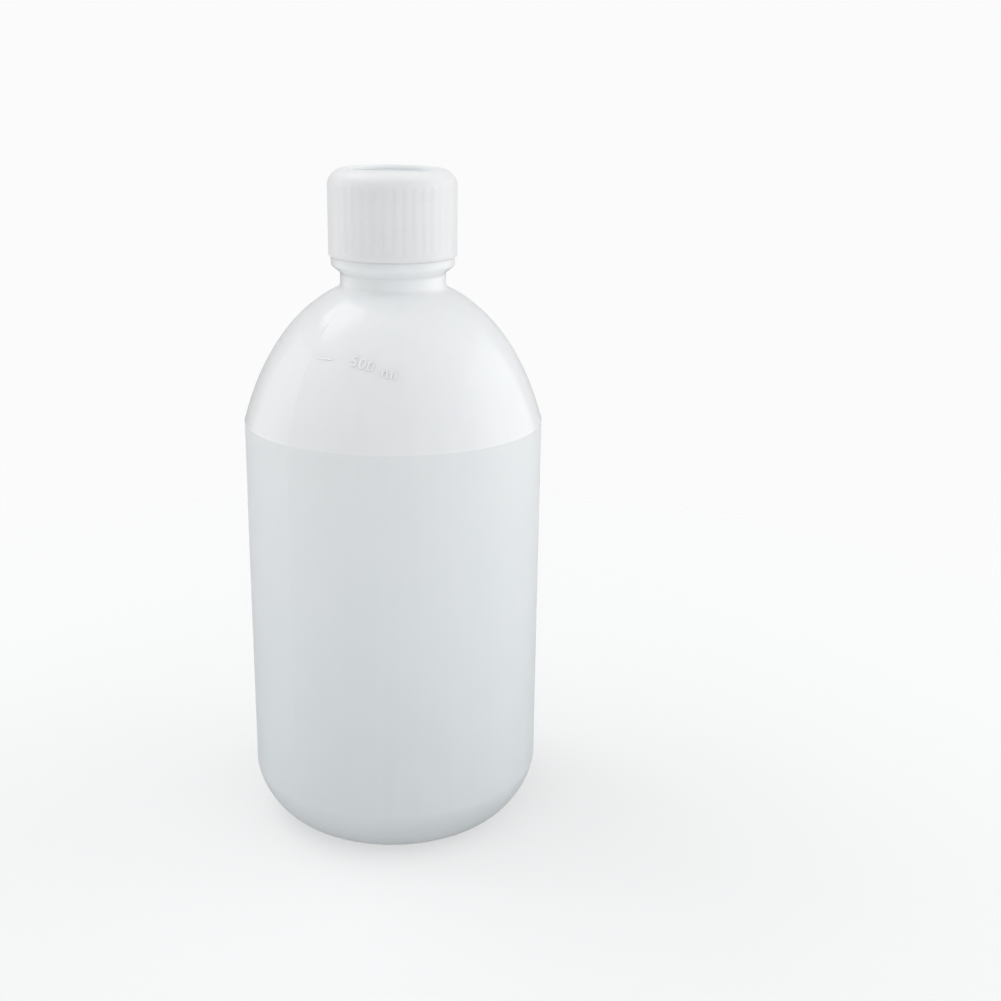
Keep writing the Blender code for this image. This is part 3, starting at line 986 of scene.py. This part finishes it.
# The room's soft light: its strength from each side, at four elevations. Sides are azimuths from
# +X towards +Y, and both are in degrees
RIGHT, BACK_RIGHT, BACK, BACK_LEFT, LEFT, FRONT_LEFT, FRONT, FRONT_RIGHT = range(0, 360, 45)
LOW, LEVEL, HIGH, OVERHEAD = -35, 5, 45, 90
ROOM_LIGHT = {
    LEVEL: {
        RIGHT: 0.65,
        BACK_RIGHT: 0.30,
        BACK: 0.50,
        LEFT: 0.25,
        FRONT_LEFT: 0.10,
        FRONT: 0.30,
        FRONT_RIGHT: 0.90,
    },
    HIGH: {LEFT: 0.75, RIGHT: 0.45, FRONT_LEFT: 0.30, BACK_LEFT: 0.25},
    OVERHEAD: {FRONT: 0.50},
    LOW: {LEFT: 0.85, FRONT: 0.65},
}
ROOM_SHARPNESS = 4.0
LIGHT_TINT = (0.99, 1.0, 1.011, 1)


def direction_of(azimuth, elevation):
    """Unit vector towards an azimuth and elevation in degrees."""
    a, e = math.radians(azimuth), math.radians(elevation)
    return (math.cos(a) * math.cos(e), math.sin(a) * math.cos(e), math.sin(e))


def lobe(tree, direction, azimuth, elevation, sharpness, strength):
    """Brightness that is strongest in one direction and falls off smoothly around it."""
    facing = node(
        tree,
        "ShaderNodeVectorMath",
        {0: direction, 1: direction_of(azimuth, elevation)},
        operation="DOT_PRODUCT",
    ).outputs["Value"]
    falloff = maths(tree, "POWER", maths(tree, "MAXIMUM", facing, 0.0), sharpness)
    return maths(tree, "MULTIPLY", falloff, strength)


def make_world():
    """Soft light from all round, strongest from the front right, with an even backdrop."""
    world = bpy.data.worlds.new("studio")
    bpy.context.scene.world = world
    world.use_nodes = True
    tree = world.node_tree
    tree.nodes.clear()
    direction = node(tree, "ShaderNodeTexCoord").outputs["Generated"]
    strength = 0.0
    for elevation, sides in ROOM_LIGHT.items():
        for azimuth, share in sides.items():
            part = lobe(tree, direction, azimuth, elevation, ROOM_SHARPNESS, share)
            strength = maths(tree, "ADD", strength, part)
    surround = node(tree, "ShaderNodeBackground", {"Color": LIGHT_TINT, "Strength": strength})
    backdrop = node(tree, "ShaderNodeBackground", {"Color": (1, 1, 1, 1), "Strength": BACKDROP})
    seen = node(tree, "ShaderNodeLightPath").outputs["Is Camera Ray"]
    mixed = node(tree, "ShaderNodeMixShader", {0: seen, 1: surround.outputs[0], 2: backdrop.outputs[0]})
    node(tree, "ShaderNodeOutputWorld", {"Surface": mixed.outputs[0]})


def softbox(name, centre, facing, width, height, radiance):
    """A rectangular light of even brightness, at centre, pointing at facing, in metres."""
    light = bpy.data.lights.new(name, "AREA")
    light.shape = "RECTANGLE"
    light.size = width
    light.size_y = height
    light.energy = radiance * math.pi * width * height
    obj = bpy.data.objects.new(name, light)
    obj.location = centre
    obj.rotation_mode = "QUATERNION"
    aim = Vector(facing) - Vector(centre)
    obj.rotation_quaternion = aim.to_track_quat("-Z", "Y")
    bpy.context.scene.collection.objects.link(obj)


def make_lights():
    """Three large softboxes behind and beside the bottle, for its highlights."""
    softbox("left_box", (-0.45, 0.21, 0.20), (0.0, 0.21, 0.20), width=0.38, height=0.40, radiance=0.55)
    softbox("right_box", (0.46, 0.12, 0.22), (0.0, 0.12, 0.22), width=0.52, height=0.46, radiance=0.72)
    softbox("top_box", (-0.45, 0.35, 0.8), (-0.45, 0.35, 0.0), width=0.45, height=0.6, radiance=1.23)


CAMERA_PLACE = (0.0, -0.3446, 0.1927)
CAMERA_PITCH = math.radians(17.54)
CAMERA_YAW = math.radians(4.55)
CAMERA_ROLL = math.radians(0.96)
CAMERA_LENS = 50.14
SENSOR = 36.0


def make_camera():
    """In front of the bottle and a little above its cap, looking down at it."""
    forward = Vector((
        math.sin(CAMERA_YAW) * math.cos(CAMERA_PITCH),
        math.cos(CAMERA_YAW) * math.cos(CAMERA_PITCH),
        -math.sin(CAMERA_PITCH),
    ))
    level_right = Vector((math.cos(CAMERA_YAW), -math.sin(CAMERA_YAW), 0.0))
    level_up = level_right.cross(forward)
    c, s = math.cos(CAMERA_ROLL), math.sin(CAMERA_ROLL)
    right = c * level_right + s * level_up
    up = -s * level_right + c * level_up
    camera = bpy.data.cameras.new("camera")
    camera.lens = CAMERA_LENS
    camera.sensor_width = SENSOR
    camera.clip_start = 0.01
    obj = bpy.data.objects.new("camera", camera)
    turn = Matrix((right, up, -forward)).transposed()
    obj.matrix_world = Matrix.Translation(CAMERA_PLACE) @ turn.to_4x4()
    bpy.context.scene.collection.objects.link(obj)
    bpy.context.scene.camera = obj


def main():
    bpy.context.scene.view_settings.view_transform = "Standard"
    make_body(body_material())
    make_cap(cap_material())
    make_plug(plug_material())
    make_wad(foam_material())
    make_floor()
    make_world()
    make_lights()
    make_camera()


main()
